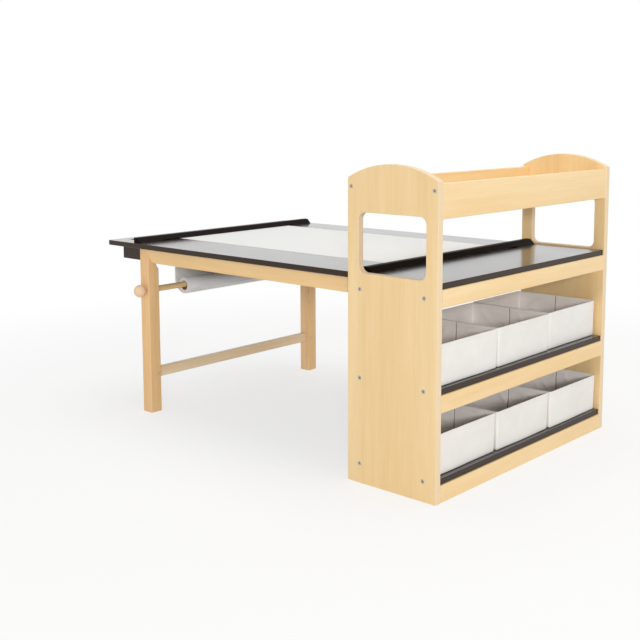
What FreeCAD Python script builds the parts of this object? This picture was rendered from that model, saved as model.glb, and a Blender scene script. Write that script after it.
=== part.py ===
import FreeCAD, Part
import math
import os

# A child's art table: a board table on two legs, carried at its other end by a shelf unit.
# Millimetres, +Z up. The origin is on the floor, under the middle of the whole piece.
# +X runs along the table towards the shelf unit's open front, and -Y is the near side.

# Shelf unit
overall_length = 1198.0
unit_width = 772.0
unit_depth = 255.0
shoulder_height = 714.0
arch_rise = 33.0
shoulder_radius = 5.0
panel_thickness = 18.0
rail_thickness = 18.0
board_thickness = 14.0
edge_ease = 1.0
board_clearance = 0.5
shelf_setback = 4.0
fascia_height = 40.0
middle_shelf_top = 258.5

# Window cut in each side panel
window_back_margin = 32.0
window_front_margin = 32.0
window_sill = 4.0
window_head_overlap = 4.0
window_radius = 18.0
window_corner_limit_share = 0.45

# Supply trough at the top of the unit
trough_top_drop = 5.5
trough_board_height = 76.5
trough_board_setback = 1.5
trough_floor_thickness = 12.0
trough_floor_lift = 8.0

# Connecting screws with a sleeve head through the side panel and a shank in the board's end
screw_inset = 36.0
trough_screw_drop = 14.5
shank_radius = 3.0
shank_length = 34.0
head_radius = 5.0
head_recess = 0.3
socket_radius = 2.9
socket_depth = 3.2
screw_clearance = 0.3

# Table
table_height = 493.0
tabletop_corner_radius = 4.0
leg_size = 38.0
leg_setback = 124.5
leg_inset = 16.5
leg_edge_radius = 3.0
apron_setback = 2.0
apron_corner_radius = 28.0
leg_chamfer_width = 15.0
chamfer_runout_radius = 30.0

# Low stretcher between the legs
stretcher_bottom = 99.0
stretcher_height = 28.0
tenon_length = 20.0
tenon_shoulder = 4.0
joint_clearance = 0.2
stretcher_screw_inset = 10.0
stretcher_head_radius = 2.3
stretcher_shank_radius = 1.5
stretcher_socket_radius = 1.2
stretcher_head_length = 10.0
stretcher_shank_length = 20.0

# Steel that joins the aprons to the legs and to the unit
plate_thickness = 2.5
plate_height = 30.0
plate_standoff = 16.0
plate_flange = 20.0
hanger_bolt_depth = 26.0
hanger_bolt_tail = 10.0
hanger_nut_height = 5.0
hanger_nut_flats = 10.0
bracket_reach = 36.0

# Supply tray under the free end of the tabletop
tray_setback = 22.5
tray_width = 82.0
tray_end_margin = 36.5
tray_wall = 12.0
tray_floor_thickness = 6.0

# Tear bars and the paper slot
left_bar_setback = 105.5
right_bar_setback = 20.0
bar_width = 30.0
bar_height = 14.0
bar_end_margin = 12.0
bar_nose_radius = 5.0
bar_relief = 2.0
slot_setback = 8.5
slot_width = 8.0
slot_end_margin = 97.5

# Paper, its roll and the dowel that carries it. The paper's margins are taken from the slot's ends.
paper_near_margin = 65.5
paper_far_margin = 17.5
paper_thickness = 0.6
paper_end_inset = 3.0
paper_loop_radius = 41.5
paper_lean_rise = 69.0
paper_tray_gap = 1.5
roll_radius = 23.5
core_radius = 12.7
core_wall = 1.6
core_fit = 0.1
dowel_radius = 8.5
dowel_drop = 82.0
dowel_clearance = 0.3
dowel_end_chamfer = 1.5
dowel_end_inset = 2.0
knob_radius = 18.0
knob_length = 33.9
knob_socket_depth = 15.0

# Storage bins, from the near side to the far side
bin_side_gap = 7.0
bin_depth = 236.0
bin_height = 96.0
bin_gap = 4.0
bin_wall = 3.0
bin_lift = 0.3
bin_base_thickness = 3.0
bin_base_clearance = 1.0
upper_bin_setbacks = (14.0, 15.0, 19.0)
lower_bin_setbacks = (16.0, 14.0, 11.0)

# One overrun serves every cut
overrun = 2.0

# Places worked out from the sizes above
x_front = overall_length / 2
x_back = x_front - unit_depth
x_end = -overall_length / 2
y_outer = -unit_width / 2
y_inner = y_outer + panel_thickness
y_edge = y_inner + board_clearance
board_under = table_height - board_thickness
rail_bottom = board_under - fascia_height
trough_board_top = shoulder_height - trough_top_drop
trough_board_bottom = trough_board_top - trough_board_height
window_bottom = table_height + window_sill
window_top = trough_board_bottom + window_head_overlap
bottom_shelf_top = fascia_height + board_thickness
back_rail_x = x_back + screw_inset
front_rail_x = x_front - screw_inset
leg_x = x_end + leg_setback + leg_size / 2
leg_right = leg_x + leg_size / 2
leg_y = y_edge + leg_inset + leg_size / 2
leg_inside = leg_y + leg_size / 2
apron_outside = leg_y - leg_size / 2 + apron_setback
apron_inside = apron_outside + rail_thickness
end_apron_left = leg_x - leg_size / 2 + apron_setback
end_apron_right = end_apron_left + rail_thickness
plate_z = rail_bottom + fascia_height / 2
left_bar_x = x_end + left_bar_setback
right_bar_x = x_back + right_bar_setback
slot_x = left_bar_x + slot_setback
tray_right = x_end + tray_setback + tray_width
tray_reach = -y_edge - tray_end_margin
bar_reach = -y_edge - bar_end_margin
slot_reach = -y_edge - slot_end_margin
dowel_height = rail_bottom - dowel_drop
core_drop = core_radius - dowel_radius - dowel_clearance
roll_z = dowel_height - core_drop
paper_near = paper_near_margin - slot_reach
paper_far = slot_reach - paper_far_margin
bin_width = (-2 * y_inner - 2 * bin_side_gap - 2 * bin_gap) / 3
panel_screw_radii = (head_radius, shank_radius, socket_radius)
stretcher_screw_radii = (stretcher_head_radius, stretcher_shank_radius, stretcher_socket_radius)

along_x = FreeCAD.Vector(1, 0, 0)
along_y = FreeCAD.Vector(0, 1, 0)
along_z = FreeCAD.Vector(0, 0, 1)
diagonal = FreeCAD.Vector(1, 1, 0).normalize()
across = FreeCAD.Vector(1, -1, 0).normalize()


def point(x, y, z):
    return FreeCAD.Vector(x, y, z)


def box(x_span, y_span, z_span):
    low = point(x_span[0], y_span[0], z_span[0])
    return Part.makeBox(
        x_span[1] - x_span[0], y_span[1] - y_span[0], z_span[1] - z_span[0], low
    )


def rod(radius, start, end):
    run = end - start
    return Part.makeCylinder(radius, run.Length, start, run)


def prism(corners, push):
    outline = Part.makePolygon(corners + corners[:1])
    return Part.Face(outline).extrude(push)


def mirrored(shape):
    return shape.mirror(point(0, 0, 0), along_y)


def runs_along(edge, direction):
    start = edge.Vertexes[0].Point
    end = edge.Vertexes[-1].Point
    run = end - start
    return run.Length > 0 and abs(run.normalize().dot(direction)) > 0.999


def rounded(solid, radius, wanted):
    return solid.makeFillet(radius, [edge for edge in solid.Edges if wanted(edge)])


def rounded_along(solid, radius, direction):
    return rounded(solid, radius, lambda edge: runs_along(edge, direction))


def eased(solid, wanted):
    return solid.makeChamfer(edge_ease, [edge for edge in solid.Edges if wanted(edge)])


def save(name, shape):
    shape.exportStep("parts/" + name + ".step")


def save_group(name, solids):
    save(name, Part.makeCompound(solids))


def screw_places():
    low_shelf_z = bottom_shelf_top - board_thickness / 2
    mid_shelf_z = middle_shelf_top - board_thickness / 2
    trough_z = trough_board_top - trough_screw_drop
    trough_inset = trough_board_setback + rail_thickness / 2
    return {
        "bottom_shelf": [(back_rail_x, low_shelf_z), (front_rail_x, low_shelf_z)],
        "middle_shelf": [(back_rail_x, mid_shelf_z), (front_rail_x, mid_shelf_z)],
        "back_rail": [(back_rail_x, plate_z)],
        "front_rail": [(front_rail_x, plate_z)],
        "trough_back": [(x_back + trough_inset, trough_z)],
        "trough_front": [(x_front - trough_inset, trough_z)],
    }


def all_screw_places():
    return [place for places in screw_places().values() for place in places]


def hexagon(centre, axis, corner):
    turn = FreeCAD.Rotation(axis, 360 / 6)
    corners = []
    for step in range(6):
        corners.append(centre + corner)
        corner = turn.multVec(corner)
    return corners


def screw_head(face, inward, length, radius):
    return rod(radius, face, face + inward * length)


# The shank hides in the wood and has six plain sides.
def screw_shank(seat, inward, length, radius):
    return prism(hexagon(seat, inward, along_z * radius), inward * length)


def socket_screw(face, inward, radii, sleeve, length):
    head, shank, socket = radii
    head_face = face + inward * head_recess
    screw = screw_head(head_face, inward, sleeve - head_recess, head)
    screw = screw.fuse(screw_shank(face + inward * sleeve, inward, length, shank))
    recess = hexagon(head_face, inward, along_z * socket)
    return screw.cut(prism(recess, inward * socket_depth))


def panel_screw(place):
    x, z = place
    face = point(x, y_outer, z)
    return socket_screw(face, along_y, panel_screw_radii, panel_thickness, shank_length)


def panel_screw_hole(place):
    x, z = place
    return screw_head(point(x, y_outer, z), along_y, panel_thickness, head_radius + screw_clearance)


def board_screw_hole(place):
    x, z = place
    depth = shank_length + screw_clearance
    return screw_shank(point(x, y_inner, z), along_y, depth, shank_radius + screw_clearance)


def bored(board, places):
    for place in places:
        hole = board_screw_hole(place)
        board = board.cut(hole).cut(mirrored(hole))
    return board


def panel_blank():
    foot_back = point(x_back, y_outer, 0)
    foot_front = point(x_front, y_outer, 0)
    shoulder_front = point(x_front, y_outer, shoulder_height)
    shoulder_back = point(x_back, y_outer, shoulder_height)
    apex = point((x_back + x_front) / 2, y_outer, shoulder_height + arch_rise)
    outline = Part.Wire([
        Part.makeLine(foot_back, foot_front),
        Part.makeLine(foot_front, shoulder_front),
        Part.Arc(shoulder_front, apex, shoulder_back).toShape(),
        Part.makeLine(shoulder_back, foot_back),
    ])
    blank = Part.Face(outline).extrude(along_y * panel_thickness)
    return rounded(
        blank,
        shoulder_radius,
        lambda edge: runs_along(edge, along_y) and edge.CenterOfMass.z > window_bottom,
    )


def panel_window():
    hole = box(
        (x_back + window_back_margin, x_front - window_front_margin),
        (y_outer - overrun, y_inner + overrun),
        (window_bottom, window_top),
    )
    tightest = (window_top - window_bottom) * window_corner_limit_share
    return rounded_along(hole, min(window_radius, tightest), along_y)


# The panel's two long outlines are eased, so that only its feet keep sharp edges.
def side_panel():
    panel = panel_blank().cut(panel_window())
    panel = eased(panel, lambda edge: not runs_along(edge, along_y) and edge.CenterOfMass.z > 0)
    for place in all_screw_places():
        panel = panel.cut(panel_screw_hole(place))
    return panel


def cross_board(x_span, z_span, places=()):
    board = box(x_span, (y_inner, -y_inner), z_span)
    board = eased(board, lambda edge: runs_along(edge, along_y))
    return bored(board, places)


def trough_front_board():
    right = x_front - trough_board_setback
    span = (right - rail_thickness, right)
    return cross_board(span, (trough_board_bottom, trough_board_top), screw_places()["trough_front"])


def trough_back_board():
    left = x_back + trough_board_setback
    span = (left, left + rail_thickness)
    return cross_board(span, (trough_board_bottom, trough_board_top), screw_places()["trough_back"])


def trough_floor():
    reach = trough_board_setback + rail_thickness
    bottom = trough_board_bottom + trough_floor_lift
    return box(
        (x_back + reach, x_front - reach),
        (y_inner, -y_inner),
        (bottom, bottom + trough_floor_thickness),
    )


def shelf(top, places):
    span = (x_back + shelf_setback, x_front - shelf_setback)
    return cross_board(span, (top - board_thickness, top), places)


def front_fascia(top):
    return cross_board((x_front - rail_thickness, x_front), (top - fascia_height, top))


def back_fascia(top):
    return cross_board((x_back, x_back + rail_thickness), (top - fascia_height, top))


def support_rail(middle, places):
    span = (middle - rail_thickness / 2, middle + rail_thickness / 2)
    return cross_board(span, (rail_bottom, board_under), places)


def mid_shelf():
    board = box(
        (back_rail_x, x_front - shelf_setback), (y_edge, -y_edge), (board_under, table_height)
    )
    return eased(board, lambda edge: runs_along(edge, along_y) and edge.CenterOfMass.x > back_rail_x)


def tray_inside_span():
    left = x_end + tray_setback + tray_wall
    return (left, left + tray_width - 2 * tray_wall)


def tray_inside_reach():
    return tray_reach - tray_wall


# The tabletop runs in between the panels and ends on the back rail.
def tabletop():
    board = box((x_end, back_rail_x), (y_edge, -y_edge), (board_under, table_height))
    board = rounded(
        board,
        tabletop_corner_radius,
        lambda edge: runs_along(edge, along_z) and edge.CenterOfMass.x < 0,
    )
    board = eased(board, lambda edge: not runs_along(edge, along_z) and edge.CenterOfMass.x < back_rail_x)
    cut_z = (board_under - overrun, table_height + overrun)
    reach = tray_inside_reach()
    board = board.cut(box(tray_inside_span(), (-reach, reach), cut_z))
    slot_span = (slot_x - slot_width / 2, slot_x + slot_width / 2)
    return board.cut(box(slot_span, (-slot_reach, slot_reach), cut_z))


def tray_walls():
    left = x_end + tray_setback
    end = tray_reach
    inside = tray_inside_span()
    reach = tray_inside_reach()
    height = (rail_bottom, board_under)
    return {
        "tray_left_wall": box((left, inside[0]), (-end, end), height),
        "tray_right_wall": box((inside[1], tray_right), (-end, end), height),
        "tray_near_end": box(inside, (-end, -reach), height),
        "tray_far_end": box(inside, (reach, end), height),
        "tray_floor": box(inside, (-reach, reach), (rail_bottom, rail_bottom + tray_floor_thickness)),
    }


# A tear bar has a sloping front with a rounded nose, and is relieved below so that the paper passes.
def tear_bar(back, relief_span):
    top_front = back + bar_width - bar_height
    profile = [
        point(back, -bar_reach, table_height),
        point(back + bar_width, -bar_reach, table_height),
        point(top_front, -bar_reach, table_height + bar_height),
        point(back, -bar_reach, table_height + bar_height),
    ]
    bar = prism(profile, along_y * (2 * bar_reach))

    def on_top(edge):
        return runs_along(edge, along_y) and edge.CenterOfMass.z > table_height

    nose = min(bar_nose_radius, bar_height, bar_width - bar_height)
    bar = rounded(bar, nose, lambda edge: on_top(edge) and edge.CenterOfMass.x > back + edge_ease)
    bar = eased(bar, lambda edge: on_top(edge) and edge.CenterOfMass.x < back + edge_ease)
    relief = box(
        relief_span,
        (-slot_reach, slot_reach),
        (table_height - overrun, table_height + bar_relief),
    )
    return bar.cut(relief)


def left_tear_bar():
    relief_left = slot_x - slot_width / 2
    return tear_bar(left_bar_x, (relief_left, left_bar_x + bar_width + overrun))


def right_tear_bar():
    return tear_bar(right_bar_x, (right_bar_x - overrun, right_bar_x + bar_width + overrun))


# The chamfer for the hanger bolt runs out of the leg's inner corner in an arc.
def leg_chamfer():
    corner = point(leg_right, leg_inside, 0)
    depth = leg_chamfer_width / math.sqrt(2)
    sweep = math.acos(1 - (depth + overrun) / chamfer_runout_radius)

    def on_profile(outward, height):
        return corner - across * leg_size + diagonal * outward + along_z * height

    def on_arc(angle):
        outward = chamfer_runout_radius * (1 - math.cos(angle)) - depth
        return on_profile(outward, rail_bottom - chamfer_runout_radius * math.sin(angle))

    top = board_under + overrun
    outline = Part.Wire([
        Part.makeLine(on_profile(-depth, top), on_arc(0)),
        Part.Arc(on_arc(0), on_arc(sweep / 2), on_arc(sweep)).toShape(),
        Part.makeLine(on_arc(sweep), on_profile(overrun, top)),
        Part.makeLine(on_profile(overrun, top), on_profile(-depth, top)),
    ])
    return Part.Face(outline).extrude(across * 2 * leg_size)


def leg():
    half = leg_size / 2
    post = box((leg_x - half, leg_x + half), (leg_y - half, leg_y + half), (0, board_under))
    post = rounded_along(post, leg_edge_radius, along_z)
    post = post.cut(leg_chamfer())
    post = post.cut(dowel_hole())
    post = post.cut(tenon(joint_clearance))
    post = post.cut(stretcher_head_hole()).cut(stretcher_shank_hole())
    return post.cut(hanger_bolt_bore())


def dowel_hole():
    reach = leg_size / 2 + overrun
    return rod(
        dowel_radius + dowel_clearance,
        point(leg_x, leg_y - reach, dowel_height),
        point(leg_x, leg_y + reach, dowel_height),
    )


def tenon(clearance):
    half = rail_thickness / 2 - tenon_shoulder + clearance
    low = stretcher_bottom + tenon_shoulder - clearance
    high = stretcher_bottom + stretcher_height - tenon_shoulder + clearance
    return box(
        (leg_x - half, leg_x + half),
        (leg_inside - tenon_length - clearance, leg_inside),
        (low, high),
    )


def leg_stretcher():
    half = rail_thickness / 2
    bar = box(
        (leg_x - half, leg_x + half),
        (leg_inside, -leg_inside),
        (stretcher_bottom, stretcher_bottom + stretcher_height),
    )
    bar = eased(bar, lambda edge: runs_along(edge, along_y))
    bar = bar.fuse([tenon(0), mirrored(tenon(0))])
    return bar.cut(stretcher_shank_hole()).cut(mirrored(stretcher_shank_hole()))


def stretcher_screw_face():
    y = leg_inside - stretcher_screw_inset
    return point(leg_right, y, stretcher_bottom + stretcher_height / 2)


def stretcher_screw():
    face = stretcher_screw_face()
    return socket_screw(
        face, -along_x, stretcher_screw_radii, stretcher_head_length, stretcher_shank_length
    )


def stretcher_head_hole():
    radius = stretcher_head_radius + screw_clearance
    return screw_head(stretcher_screw_face(), -along_x, stretcher_head_length, radius)


def stretcher_shank_hole():
    seat = stretcher_screw_face() - along_x * stretcher_head_length
    depth = stretcher_shank_length + screw_clearance
    return screw_shank(seat, -along_x, depth, stretcher_shank_radius + screw_clearance)


def long_apron():
    board = box(
        (leg_right, back_rail_x - rail_thickness / 2),
        (apron_outside, apron_inside),
        (rail_bottom, board_under),
    )
    return rounded(
        board,
        apron_corner_radius,
        lambda edge: runs_along(edge, along_y)
        and edge.CenterOfMass.x < 0
        and edge.CenterOfMass.z < plate_z,
    )


def end_apron():
    return box(
        (end_apron_left, end_apron_right), (leg_inside, -leg_inside), (rail_bottom, board_under)
    )


# A steel strip folded along the given corners, seen from above, and thickened to its left.
def folded_strip(corners):
    runs = [(end - start).normalize() for start, end in zip(corners, corners[1:])]
    normals = [along_z.cross(run) for run in runs]
    inner = []
    for index, corner in enumerate(corners):
        before = normals[max(index - 1, 0)]
        after = normals[min(index, len(normals) - 1)]
        shift = (before + after) * (plate_thickness / (1 + before.dot(after)))
        inner.append(corner + shift)
    return prism(corners + inner[::-1], along_z * plate_height)


def corner_plate():
    corner = point(leg_right, leg_inside, plate_z - plate_height / 2)
    seat = corner + diagonal * plate_standoff
    arm = (leg_inside - apron_inside + plate_standoff / math.sqrt(2)) * math.sqrt(2)
    near_fold = seat + across * arm
    far_fold = seat - across * arm
    plate = folded_strip([
        far_fold + along_y * plate_flange, far_fold, near_fold, near_fold + along_x * plate_flange
    ])
    return plate.cut(hanger_bolt_bore())


def hanger_axis_point(distance):
    return point(leg_right, leg_inside, plate_z) + diagonal * distance


def hanger_nut_seat():
    return plate_standoff + plate_thickness


def hanger_bolt():
    tail = hanger_nut_seat() + hanger_nut_height + hanger_bolt_tail
    return rod(shank_radius, hanger_axis_point(-hanger_bolt_depth), hanger_axis_point(tail))


def hanger_bolt_bore():
    start = hanger_axis_point(-hanger_bolt_depth - screw_clearance)
    return rod(shank_radius + screw_clearance, start, hanger_axis_point(hanger_nut_seat() + overrun))


def hanger_nut():
    seat = hanger_axis_point(hanger_nut_seat())
    corner = along_z * (hanger_nut_flats / math.sqrt(3))
    nut = prism(hexagon(seat, diagonal, corner), diagonal * hanger_nut_height)
    bore = rod(
        shank_radius + screw_clearance,
        seat - diagonal * overrun,
        seat + diagonal * (hanger_nut_height + overrun),
    )
    return nut.cut(bore)


def apron_bracket():
    corner = point(back_rail_x - rail_thickness / 2, apron_inside, plate_z - plate_height / 2)
    return folded_strip([corner + along_y * bracket_reach, corner, corner - along_x * bracket_reach][::-1])


# The slack outer turn leaves the roll at its bottom, swings up behind it and leans into the slot.
def paper_line(outward):
    reach = paper_loop_radius + outward
    middle = roll_z - roll_radius - dowel_clearance + paper_loop_radius
    slant = reach / math.sqrt(2)
    past_tray = tray_right + paper_tray_gap + paper_thickness - outward
    return [
        point(leg_x, paper_near, middle - reach),
        point(leg_x - slant, paper_near, middle - slant),
        point(leg_x - reach, paper_near, middle),
        point(leg_x - reach, paper_near, board_under - paper_lean_rise),
        point(past_tray, paper_near, rail_bottom),
        point(slot_x - outward, paper_near, table_height),
    ]


def paper_rise():
    front = paper_line(0)
    back = paper_line(paper_thickness)
    outline = Part.Wire([
        Part.Arc(front[0], front[1], front[2]).toShape(),
        Part.makePolygon(front[2:] + back[:1:-1]),
        Part.Arc(back[2], back[1], back[0]).toShape(),
        Part.makeLine(back[0], front[0]),
    ])
    return Part.Face(outline).extrude(along_y * (paper_far - paper_near))


def paper_run():
    return box(
        (slot_x - paper_thickness, right_bar_x + bar_width - bar_height - paper_end_inset),
        (paper_near, paper_far),
        (table_height, table_height + paper_thickness),
    )


def paper_tube(outer, inner):
    start = point(leg_x, paper_near, roll_z)
    end = point(leg_x, paper_far, roll_z)
    over = along_y * overrun
    return rod(outer, start, end).cut(rod(inner, start - over, end + over))


def knob_flat_y():
    return leg_y - leg_size / 2 - dowel_clearance


def dowel_rod():
    start = point(leg_x, knob_flat_y() - knob_socket_depth, dowel_height)
    end = point(leg_x, -(leg_y - leg_size / 2) - dowel_end_inset, dowel_height)
    dowel = rod(dowel_radius, start, end)
    return dowel.makeChamfer(
        dowel_end_chamfer, [edge for edge in dowel.Edges if edge.CenterOfMass.y > 0 and edge.Closed]
    )


def dowel_knob():
    centre = point(leg_x, knob_flat_y() - knob_length + knob_radius, dowel_height)
    ball = Part.makeSphere(knob_radius, centre)
    reach = knob_radius + overrun
    waste = box(
        (leg_x - reach, leg_x + reach),
        (knob_flat_y(), knob_flat_y() + reach),
        (dowel_height - reach, dowel_height + reach),
    )
    socket = rod(
        dowel_radius + core_fit,
        point(leg_x, knob_flat_y() - knob_socket_depth, dowel_height),
        point(leg_x, knob_flat_y() + overrun, dowel_height),
    )
    return ball.cut(waste).cut(socket)


def storage_bin(middle, setback, seat):
    front = x_front - setback
    floor = seat + bin_lift
    shell = box(
        (front - bin_depth, front),
        (middle - bin_width / 2, middle + bin_width / 2),
        (floor, floor + bin_height),
    )
    hollow = box(
        (front - bin_depth + bin_wall, front - bin_wall),
        (middle - bin_width / 2 + bin_wall, middle + bin_width / 2 - bin_wall),
        (floor + bin_wall, floor + bin_height + overrun),
    )
    return shell.cut(hollow)


def bin_base(middle, setback, seat):
    front = x_front - setback
    margin = bin_wall + bin_base_clearance
    floor = seat + bin_lift + bin_wall
    return box(
        (front - bin_depth + margin, front - margin),
        (middle - bin_width / 2 + margin, middle + bin_width / 2 - margin),
        (floor, floor + bin_base_thickness),
    )


def save_bins(row, seat, setbacks):
    pitch = bin_width + bin_gap
    for name, step, setback in zip(("near", "middle", "far"), (-1, 0, 1), setbacks):
        save(row + "_" + name + "_bin", storage_bin(step * pitch, setback, seat))
        save(row + "_" + name + "_bin_base", bin_base(step * pitch, setback, seat))


def save_unit():
    places = screw_places()
    save("near_side_panel", side_panel())
    save("far_side_panel", mirrored(side_panel()))
    save("trough_front_board", trough_front_board())
    save("trough_back_board", trough_back_board())
    save("trough_floor", trough_floor())
    save("mid_shelf", mid_shelf())
    save("mid_front_fascia", front_fascia(board_under))
    save("mid_front_support_rail", support_rail(front_rail_x, places["front_rail"]))
    save("mid_back_support_rail", support_rail(back_rail_x, places["back_rail"]))
    save("middle_shelf", shelf(middle_shelf_top, places["middle_shelf"]))
    save("middle_front_fascia", front_fascia(middle_shelf_top - board_thickness))
    save("middle_back_fascia", back_fascia(middle_shelf_top - board_thickness))
    save("bottom_shelf", shelf(bottom_shelf_top, places["bottom_shelf"]))
    save("bottom_front_plinth", front_fascia(fascia_height))
    save("bottom_back_plinth", back_fascia(fascia_height))
    screws = [panel_screw(place) for place in all_screw_places()]
    save_group("near_panel_screws", screws)
    save_group("far_panel_screws", [mirrored(screw) for screw in screws])


def save_table():
    save("tabletop", tabletop())
    for name, wall in tray_walls().items():
        save(name, wall)
    save("left_tear_bar", left_tear_bar())
    save("right_tear_bar", right_tear_bar())
    save("near_leg", leg())
    save("far_leg", mirrored(leg()))
    save("front_apron", long_apron())
    save("rear_apron", mirrored(long_apron()))
    save("end_apron", end_apron())
    save("leg_stretcher", leg_stretcher())
    save_group("stretcher_screws", [stretcher_screw(), mirrored(stretcher_screw())])
    save("near_corner_plate", corner_plate())
    save("far_corner_plate", mirrored(corner_plate()))
    save_group("hanger_bolts", [hanger_bolt(), mirrored(hanger_bolt())])
    save_group("hanger_nuts", [hanger_nut(), mirrored(hanger_nut())])
    save_group("apron_brackets", [apron_bracket(), mirrored(apron_bracket())])


def save_paper_feed():
    save("paper_rise", paper_rise())
    save("paper_run", paper_run())
    save("paper_roll", paper_tube(roll_radius, core_radius + core_wall + core_fit))
    save("paper_core", paper_tube(core_radius + core_wall, core_radius))
    save_group("roll_dowel", [dowel_rod(), dowel_knob()])


os.makedirs("parts", exist_ok=True)
save_unit()
save_table()
save_paper_feed()
save_bins("upper", middle_shelf_top, upper_bin_setbacks)
save_bins("lower", bottom_shelf_top, lower_bin_setbacks)
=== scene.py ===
import bpy
import bmesh
import math
import random
from mathutils import Matrix, Vector, noise


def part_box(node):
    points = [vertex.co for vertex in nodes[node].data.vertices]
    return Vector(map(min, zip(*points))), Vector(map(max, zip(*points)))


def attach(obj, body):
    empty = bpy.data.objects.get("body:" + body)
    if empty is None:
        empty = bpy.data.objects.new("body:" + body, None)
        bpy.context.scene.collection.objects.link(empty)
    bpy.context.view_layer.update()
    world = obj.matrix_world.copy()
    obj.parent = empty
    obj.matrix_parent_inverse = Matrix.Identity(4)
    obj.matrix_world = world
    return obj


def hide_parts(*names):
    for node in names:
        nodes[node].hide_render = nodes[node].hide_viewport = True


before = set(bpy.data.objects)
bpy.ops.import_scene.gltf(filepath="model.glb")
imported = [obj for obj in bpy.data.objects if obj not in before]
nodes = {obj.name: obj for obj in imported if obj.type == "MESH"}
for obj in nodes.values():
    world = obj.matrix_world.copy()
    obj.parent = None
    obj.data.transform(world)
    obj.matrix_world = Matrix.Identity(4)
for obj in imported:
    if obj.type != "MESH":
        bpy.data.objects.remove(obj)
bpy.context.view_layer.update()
scene = bpy.context.scene
scene.view_settings.view_transform = "Standard"
print("frame loaded:", len(nodes), "nodes")


# node helpers

def newGroup(name, inputs, outputs):
    tree = bpy.data.node_groups.new(name, "ShaderNodeTree")
    for label, kind, value in inputs:
        sock = tree.interface.new_socket(name=label, in_out="INPUT", socket_type=kind)
        if value is not None:
            sock.default_value = value
    for label, kind in outputs:
        tree.interface.new_socket(name=label, in_out="OUTPUT", socket_type=kind)
    return tree, tree.nodes.new("NodeGroupInput"), tree.nodes.new("NodeGroupOutput")


def addNode(tree, kind, links=(), **settings):
    node = tree.nodes.new(kind)
    for key, value in settings.items():
        setattr(node, key, value)
    for socket, source in links:
        if hasattr(source, "is_linked"):
            tree.links.new(source, node.inputs[socket])
        else:
            node.inputs[socket].default_value = source
    return node


def maths(tree, operation, a, b=None, clamp=False):
    links = [(i, v) for i, v in enumerate((a, b)) if v is not None]
    return addNode(tree, "ShaderNodeMath", links, operation=operation, use_clamp=clamp).outputs[0]


def times(tree, a, b):
    return maths(tree, "MULTIPLY", a, b)


def plus(tree, a, b, clamp=False):
    return maths(tree, "ADD", a, b, clamp)


def stretched(tree, vector, scale):
    links = [(0, vector), (1, scale)]
    return addNode(tree, "ShaderNodeVectorMath", links, operation="MULTIPLY").outputs[0]


def noiseOf(tree, vector, scale, detail=3.0, rough=0.5, distortion=0.0):
    return addNode(tree, "ShaderNodeTexNoise", [
        ("Vector", vector), ("Scale", scale), ("Detail", detail),
        ("Roughness", rough), ("Distortion", distortion),
    ]).outputs["Fac"]


def spread(tree, value, low, high, toLow=0.0, toHigh=1.0, **settings):
    return addNode(tree, "ShaderNodeMapRange", [
        ("Value", value), ("From Min", low), ("From Max", high), ("To Min", toLow), ("To Max", toHigh),
    ], **settings).outputs[0]


def mixColours(tree, factor, a, b):
    links = [(0, factor), (6, a), (7, b)]
    return addNode(tree, "ShaderNodeMix", links, data_type="RGBA").outputs[2]


def placeGroup(tree, group, links):
    return addNode(tree, "ShaderNodeGroup", links, node_tree=group)


def rgb(r, g, b):
    def linear(v):
        v /= 255
        return v / 12.92 if v <= 0.04045 else ((v + 0.055) / 1.055) ** 2.4
    return (linear(r), linear(g), linear(b), 1.0)


# wood figure: the vector's X runs along the grain, in metres

figureBands = {  # stretch of the noise, its detail, roughness and distortion, and the range that shows
    "broad": ((1.3, 17, 17), 4, 0.55, 0.35, (0.34, 0.68)),
    "medium": ((3.2, 75, 75), 4, 0.6, 0.2, (0.32, 0.7)),
    "fine": ((14, 520, 520), 2, 0.6, 0.0, (0.3, 0.75)),
    "fleck": ((55, 700, 700), 1, 0.5, 0.0, (0.66, 0.78)),
}
figureMix = {
    "broad": 0.62, "medium": 0.38, "fibreLift": 0.7, "fleckDip": -0.6,
    "roughFrom": (0.6, 1.4), "roughTo": (-0.06, 0.07),
}


def buildWoodFigure():
    tree, into, out = newGroup("woodFigure", [
        ("Vector", "NodeSocketVector", None), ("Pale", "NodeSocketColor", (0.8, 0.6, 0.4, 1)),
        ("Deep", "NodeSocketColor", (0.6, 0.4, 0.2, 1)), ("Streaks", "NodeSocketFloat", 0.5),
        ("Fibres", "NodeSocketFloat", 0.3), ("Flecks", "NodeSocketFloat", 0.2),
    ], [("Color", "NodeSocketColor"), ("Rough", "NodeSocketFloat"), ("Height", "NodeSocketFloat")])
    raw, shown = {}, {}
    for name, (stretch, detail, rough, distortion, limits) in figureBands.items():
        vector = stretched(tree, into.outputs["Vector"], stretch)
        raw[name] = noiseOf(tree, vector, 1.0, detail, rough, distortion)
        shown[name] = spread(tree, raw[name], *limits)
    streak = plus(tree, times(tree, shown["broad"], figureMix["broad"]),
                  times(tree, shown["medium"], figureMix["medium"]))
    shade = times(tree, streak, into.outputs["Streaks"])
    fibre = times(tree, shown["fine"], into.outputs["Fibres"])
    tick = times(tree, shown["fleck"], into.outputs["Flecks"])
    total = plus(tree, plus(tree, shade, fibre), tick, clamp=True)
    colour = mixColours(tree, total, into.outputs["Pale"], into.outputs["Deep"])
    both = plus(tree, raw["fine"], raw["broad"])
    roughShift = spread(tree, both, *figureMix["roughFrom"], *figureMix["roughTo"])
    height = plus(tree, times(tree, raw["fine"], figureMix["fibreLift"]),
                  times(tree, tick, figureMix["fleckDip"]))
    for label, socket in (("Color", colour), ("Rough", roughShift), ("Height", height)):
        tree.links.new(socket, out.inputs[label])
    return tree


# soft handling marks: a broad cloudy value and a fine one

handlingRange = {"cloud": (0.3, 0.7), "grit": (0.25, 0.75)}


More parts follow.
